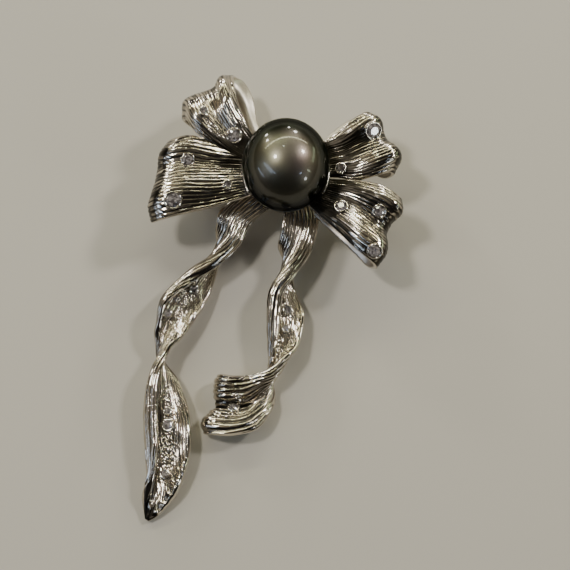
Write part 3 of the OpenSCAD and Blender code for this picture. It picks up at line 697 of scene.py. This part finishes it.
profile = np.concatenate([
    np.stack([flat * HUB_BACK_D / 2, HUB_Z + 0 * flat], -1),
    np.stack([wall_r, wall_z], -1),
    np.stack([mouth_r + (wall_r[-1] - mouth_r) * (1 + np.cos(over)) / 2,
              below + (rim_z - below) * np.sin(over)], -1),
    np.stack([inner_r * np.cos(down), bowl_z], -1),
    np.repeat(peg[:, None], len(turns), 1)])
hub = skin("hub_cup", around(profile, turns, PEARL_L / PEARL_W).reshape(-1, 3),
           turned_faces(len(profile), len(turns)))
# Painted shade: the hub has the loops' rhodium, and its colour is painted darker for the shade under
# the pearl
pearl_shaded_rhodium = cast_metal("pearl_shaded_rhodium", bright=(0.34, 0.32, 0.29), grime=(0.2, 0.18, 0.16),
                           polish=0.16, grain_scale=3000, grain_mm=0.012, groove=False)
finish_piece(hub, pearl_shaded_rhodium, "bow_metal", "bow")

# The tube settings
# Each stone sits in its own short tube, soldered through the sheet and rubbed over the stone's edge.
# The tube's rim is rounded, its metal is painted lighter than the loops' for the highlight that each
# rim catches, and its bore is cut to the stone's slope.

TUBE_WALL = 0.2
GIRDLE_Z = RIM_TOP - 0.1
# Height of the bore's bottom, and the points round a tube and over its rim
TUBE_LOW, TUBE_SIDES, TUBE_OVER = -0.16, 36, 9


def stand(spot, aim, points):
    """Points of an upright piece, stood at spot with its Z axis along aim: turned about Y by the aim's
    lean and then about Z by the way it leans."""
    lean, way = math.acos(max(-1, min(1, aim[2]))), math.atan2(aim[1], aim[0])
    cl, sl, cw, sw = math.cos(lean), math.sin(lean), math.cos(way), math.sin(way)
    turn = np.array([[cw * cl, -sw, cw * sl], [sw * cl, cw, sw * sl], [-sl, 0, cl]])
    return points @ turn.T + spot


def tube_profile(d):
    """Radius and height round a tube setting's wall: up the outside from its narrow foot, over the
    rounded rim, down the bore and the seat, and back to the axis."""
    bore, wide = d / 2 + SEAT_GAP * 0.5, d / 2 + SEAT_GAP + TUBE_WALL
    lip = (wide - bore) / 2
    a = np.linspace(0, math.pi, TUBE_OVER)
    outside = [[0, TUBE_LOW - 0.08], [wide * 0.55, TUBE_LOW - 0.08], [wide * 0.9, 0.15],
               [wide * 1.06, 0.42], [wide, 0.6]]
    over = np.stack([bore + lip + lip * np.cos(a), RIM_TOP - lip + lip * np.sin(a)], -1)
    inside = [[bore, GIRDLE_Z - 0.08], [bore * 0.5, (GIRDLE_Z + TUBE_LOW) / 2 - 0.04],
              [0.06, TUBE_LOW], [0, TUBE_LOW]]
    return np.concatenate([outside, over, inside])


sides = np.linspace(0, 2 * math.pi, TUBE_SIDES, endpoint=False)
points, faces = [], []
for spot, aim, d in stone_places:
    profile = np.repeat(tube_profile(d)[:, None], len(sides), 1)
    points.append(stand(spot, aim, around(profile, sides).reshape(-1, 3)))
    faces.append(turned_faces(len(profile), len(sides)) + sum(len(p) for p in points[:-1]))
settings = skin("tube_settings", np.concatenate(points), np.concatenate(faces))
# Painted highlight: the loops' rhodium, painted lighter for the bright ring round each rim
highlit_tube_rhodium = cast_metal("highlit_tube_rhodium", bright=(0.80, 0.75, 0.68), grime=(0.4, 0.37, 0.33),
                            polish=0.07, grain_scale=3000, grain_mm=0.006, groove=False)
finish_piece(settings, highlit_tube_rhodium, "bow_metal", "bow")

# The stones
# Eighteen round brilliants of clear cut stone, each with a table, eight stars, eight kites, thirty-two
# halves and eight mains, held in its tube by the rubbed-over rim. Cells of dull and bright body colour
# are painted glints and painted dark reflections, standing in for what its facets reflect.

# Shares of the diameter: the table's width and the depths of crown and pavilion. The girdle is in
# millimetres.
TABLE, CROWN, PAVILION, GIRDLE = 0.58, 0.16, 0.43, 0.04
# Tips of the stars, as shares of the half width and of the crown, and tips of the pavilion's halves, as
# shares of the half width and of the pavilion
STAR_OUT, STAR_UP, HALVES_OUT, HALVES_DOWN = 0.80, 0.62, 0.24, 0.80


def brilliant(d):
    """Corners and faces of a round brilliant with its girdle at Z = 0. The rings are the table, the
    stars' tips, the girdle's two edges, the pavilion's half tips and the culet."""
    eight = np.arange(8) * math.pi / 4
    sixteen = np.arange(16) * math.pi / 8

    def ring(angles, share, height):
        """Corners at these angles, at a share of the half width and a height in diameters."""
        return np.stack([np.cos(angles) * share * d / 2, np.sin(angles) * share * d / 2,
                         np.full(len(angles), height * d)], -1)

    thin = GIRDLE / d / 2
    between = eight + math.pi / 8
    corners = np.concatenate([
        ring(eight, TABLE, CROWN), ring(between, STAR_OUT, CROWN * STAR_UP),
        ring(sixteen, 1, thin), ring(sixteen, 1, -thin),
        ring(between, HALVES_OUT, -PAVILION * HALVES_DOWN), [[0, 0, -PAVILION * d]]])
    table, star, upper, lower, tip, culet = 0, 8, 16, 32, 48, 56
    found = [list(range(8))]
    for i in range(8):
        n, a, b, c = (i + 1) % 8, 2 * i, 2 * i + 1, (2 * i + 2) % 16
        found += [[table + i, star + i, table + n], [table + n, star + i, upper + c, star + n],
                  [star + i, upper + a, upper + b], [star + i, upper + b, upper + c],
                  [lower + a, tip + i, lower + b], [lower + b, tip + i, lower + c],
                  [lower + c, tip + i, culet, tip + n]]
    found += [[upper + i, lower + i, lower + (i + 1) % 16, upper + (i + 1) % 16] for i in range(16)]
    return corners, found


crystal, tree, shader = new_material("clear_stone", {
    "Roughness": 0.0, "IOR": 2.15, "Transmission Weight": 0.72})
place = node(tree, "TexCoord")
glints = node(tree, "TexVoronoi", "glints, a sixth of a stone wide", {"Scale": 4200})
glint = node(tree, "SeparateColor", "one value for each glint")
lit = node(tree, "MapRange", "a glint is lit or dull", {"From Min": 0.4, "From Max": 0.6})
painted_glints = node(tree, "Mix", "dull and bright glints", {
    6: (0.14, 0.12, 0.12, 1), 7: (1, 0.92, 0.90, 1)}, data_type="RGBA")
join(tree, (place, "Object", glints, "Vector"), (glints, "Color", glint, "Color"),
     (glint, "Red", lit, "Value"), (lit, "Result", painted_glints, 0), (painted_glints, 2, shader, "Base Color"))
for number, (spot, aim, d) in enumerate(stone_places, 1):
    corners, found = brilliant(d)
    mesh = bpy.data.meshes.new("cut_stone_%02d" % number)
    mesh.from_pydata((stand(spot, aim, corners + [0, 0, GIRDLE_Z]) * MM).tolist(), [], found)
    mesh.validate()
    finish_piece(put_in_scene(mesh.name, mesh), crystal, "cut_stone", "stone_%02d" % number)

# The pearl
# One dark sea-grown pearl, slightly longer than wide, half drilled from behind and glued on a peg in
# the cup. Its nacre is dark green-grey with a brown cast, and very glossy. Its edge is painted
# near-black as a painted dark reflection, and its side towards the tails is painted darker as painted
# shade.

BORE_R, BORE_DEPTH = 0.66, 4.1
# Points round the pearl, and rings on it. A ring's radius and height are the sine and cosine of its
# angle from the bottom, and the bore goes straight up from the lowest one.
PEARL_TURNS, PEARL_RINGS = 160, 110
turns = np.linspace(0, 2 * math.pi, PEARL_TURNS, endpoint=False)
fall = np.linspace(math.pi, math.asin(BORE_R / (PEARL_W / 2)), PEARL_RINGS)
ball = np.stack([PEARL_W / 2 * np.sin(fall), PEARL_H - PEARL_W / 2 * np.cos(fall)], -1)
bore = [[BORE_R, ball[-1, 1] + BORE_DEPTH], [0, ball[-1, 1] + BORE_DEPTH]]
profile = np.repeat(np.concatenate([ball, bore])[::-1][:, None], len(turns), 1)
nacre_ball = skin("nacre_pearl", around(profile, turns, PEARL_L / PEARL_W).reshape(-1, 3),
                  turned_faces(len(profile), len(turns)))
nacre, tree, shader = new_material("dark_nacre", {
    "Metallic": 0.9, "Roughness": 0.37, "Specular IOR Level": 0.3,
    "Specular Tint": (0.22, 0.25, 0.17, 1), "Coat Roughness": 0.03, "Coat IOR": 1.45})
place = node(tree, "TexCoord")
facing = node(tree, "LayerWeight", "from face to limb", {"Blend": 0.35})
# Painted dark reflection: the colour turns near-black towards the edge, by how far the surface faces
# away
shaded_limb = node(tree, "MapRange", "shaded_limb", {"From Min": 0.04, "From Max": 0.36},
            interpolation_type="SMOOTHSTEP")
body = node(tree, "Mix", "brown body, green limb", {
    6: (0.295, 0.262, 0.206, 1), 7: (0.022, 0.026, 0.015, 1)}, data_type="RGBA")
join(tree, (facing, "Facing", shaded_limb, "Value"), (shaded_limb, "Result", body, 0))
cloud = node(tree, "TexNoise", "cloudy nacre", {"Scale": 160, "Detail": 2})
shade = node(tree, "Mix", "clouds", {0: 0.35}, data_type="RGBA", blend_type="MULTIPLY")
join(tree, (place, "Object", cloud, "Vector"), (body, 2, shade, 6), (cloud, "Color", shade, 7))
xyz = node(tree, "SeparateXYZ", "along the brooch")
# Painted shade: the pearl's colour falls to a quarter towards the tails
lower_shade = node(tree, "MapRange", "darker towards the tails", {
    "From Min": -PEARL_L / 2 * MM, "From Max": 0.5 * MM, "To Min": 0.25},
    interpolation_type="SMOOTHSTEP")
shaded = node(tree, "VectorMath", "zoned colour", operation="SCALE")
join(tree, (place, "Object", xyz, "Vector"), (xyz, "Y", lower_shade, "Value"), (shade, 2, shaded, "Vector"),
     (lower_shade, "Result", shaded, "Scale"), (shaded, "Vector", shader, "Base Color"))
gloss = node(tree, "MapRange", "gloss falls off at the limb", {
    "From Min": 0.25, "From Max": 0.48, "To Min": 1.0, "To Max": 0.12})
join(tree, (facing, "Facing", gloss, "Value"), (gloss, "Result", shader, "Coat Weight"))
finish_piece(nacre_ball, nacre, "pearl", "pearl")

# The pin
# Behind the bow a flat bar carries the pin: a straight steel stem between a hinge block and a catch
# block. It is plain bright steel, hidden when worn.

steel = cast_metal("pin_steel", bright=(0.62, 0.61, 0.60), grime=(0.3, 0.3, 0.3), polish=0.16,
                   grain_scale=5000, grain_mm=0.006, groove=False)
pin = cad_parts["pin"]
pin.data.materials.clear()
pin.data.materials.append(steel)

# The floor, the lights and the camera
# A plain pale floor under the brooch, soft lights above it, and a camera where the photograph was
# taken from: almost straight above, leaning 16 degrees towards the tails.

# Half the floor's side, in metres
FLOOR_HALF = 0.9
mesh = bpy.data.meshes.new("floor")
mesh.from_pydata([(x * FLOOR_HALF, y * FLOOR_HALF, FLOOR_Z * MM)
                  for x, y in ((-1, -1), (1, -1), (1, 1), (-1, 1))], [], [(0, 1, 2, 3)])
floor = put_in_scene("floor", mesh)
paper = new_material("pale_floor", {"Base Color": (0.62, 0.58, 0.50, 1), "Roughness": 0.9})[0]
mesh.materials.append(paper)

world = bpy.data.worlds.new("studio")
world.use_nodes = True
bpy.context.scene.world = world
tree = world.node_tree
place = node(tree, "TexCoord")
xyz = node(tree, "SeparateXYZ")
ramp = node(tree, "ValToRGB", "from the horizon up")
stops = ramp.color_ramp.elements
stops[0].color, stops[1].color = (0.05, 0.045, 0.04, 1), (0.02, 0.018, 0.016, 1)
stops.new(0.3).color = (0.016, 0.015, 0.014, 1)
stops.new(0.8).color = (0.012, 0.011, 0.010, 1)
join(tree, (place, "Generated", xyz, "Vector"), (xyz, "Z", ramp, "Fac"))


def towards(way, height):
    """A direction of length 1, way degrees round from +X and height degrees over the floor."""
    a, e = math.radians(way), math.radians(height)
    return math.cos(a) * math.cos(e), math.sin(a) * math.cos(e), math.sin(e)


# Pale walls and curtains of the room: way, height and width in degrees, and colour
GLOWS = [(150, 58, 30, (0.26, 0.22, 0.15)), (195, 28, 24, (0.34, 0.34, 0.34)),
         (-8, 30, 22, (0.26, 0.24, 0.19)), (80, 25, 22, (0.14, 0.13, 0.10)),
         (85, 70, 24, (0.18, 0.165, 0.12)), (-100, 72, 20, (0.12, 0.11, 0.09))]
seen = (ramp, "Color")
for way, height, wide, tone in GLOWS:
    near = node(tree, "VectorMath", "nearness to a glow", {1: towards(way, height)},
                operation="DOT_PRODUCT")
    soft = node(tree, "MapRange", "soft edge", {"From Min": math.cos(math.radians(wide))},
                interpolation_type="SMOOTHSTEP")
    add = node(tree, "Mix", "glow", {7: (*tone, 1)}, data_type="RGBA", blend_type="ADD")
    join(tree, (place, "Generated", near, 0), (near, "Value", soft, "Value"), (soft, "Result", add, 0),
         (*seen, add, 6))
    seen = (add, 2)
join(tree, (*seen, tree.nodes["Background"], "Color"))
set_sockets(tree.nodes["Background"], {"Strength": 1.0})

# Tint of the warm lamps
WARM = (1, 0.97, 0.92)


def soft_light(name, way, height, size, glow, tint, reach=0.5, lean=0):
    """A soft light that points at the brooch. Way is its direction in degrees round from +X, height its
    angle over the floor, size its length and width in metres, glow its brightness for its size, reach
    its distance, and lean turns it about its own middle. Power is glow times area times pi."""
    data = bpy.data.lights.new(name, "AREA")
    data.shape = "ELLIPSE" if size[0] == size[1] else "RECTANGLE"
    data.size, data.size_y = size
    data.energy = glow * math.pi * size[0] * size[1]
    data.color = tint
    lamp = put_in_scene(name, data)
    out = mathutils.Vector(towards(way, height)) * reach
    turn = out.to_track_quat("Z", "Y") @ mathutils.Quaternion((0, 0, 1), math.radians(lean))
    lamp.location, lamp.rotation_euler = out, turn.to_euler()
    lamp.visible_camera = False


soft_light("lamp_left", 168, 63, (0.07, 0.07), 52, WARM)
soft_light("lamp_right", 26, 43, (0.07, 0.07), 52, WARM)
soft_light("lamp_far_left", 125, 8, (0.045, 0.045), 38, WARM)
soft_light("lamp_mid_left", 132, 23, (0.045, 0.045), 38, WARM)
soft_light("lamp_far_right", 85, 8, (0.035, 0.035), 38, WARM)
soft_light("lamp_mid_right", 72, 18, (0.055, 0.055), 38, WARM)
soft_light("lamp_low", -35, 20, (0.06, 0.06), 12, (0.95, 1, 1))
soft_light("lamp_top", 101, 61, (0.025, 0.025), 14, (0.9, 1, 0.8))
soft_light("strip", 92, 40, (1.3, 0.035), 12, (1, 0.98, 0.68), reach=0.6, lean=7)
soft_light("window_left", -161, 38, (0.27, 0.014), 8, (0.55, 0.72, 1), lean=17)
soft_light("window_mid_left", -153, 44, (0.27, 0.014), 8, (0.55, 0.72, 1), lean=17)
soft_light("window_far_left", -164, 15, (0.19, 0.018), 6, (0.6, 0.75, 1), lean=14)
soft_light("window_low", -36, 40, (0.05, 0.03), 7, (0.6, 0.75, 1))
soft_light("window_right", 18, 14, (0.26, 0.055), 2.4, (0.8, 1, 0.65), lean=-22)
soft_light("window_low_right", -17, 24, (0.03, 0.08), 6, (0.85, 1, 0.75))

lens = bpy.data.cameras.new("photo_camera")
lens.lens = 82.1
lens.clip_start, lens.clip_end = 0.01, 5
camera = put_in_scene("photo_camera", lens)
camera.location = (-0.000133, -0.062862, 0.171702)
camera.rotation_euler = (math.radians(16), 0, 0)
bpy.context.scene.camera = camera
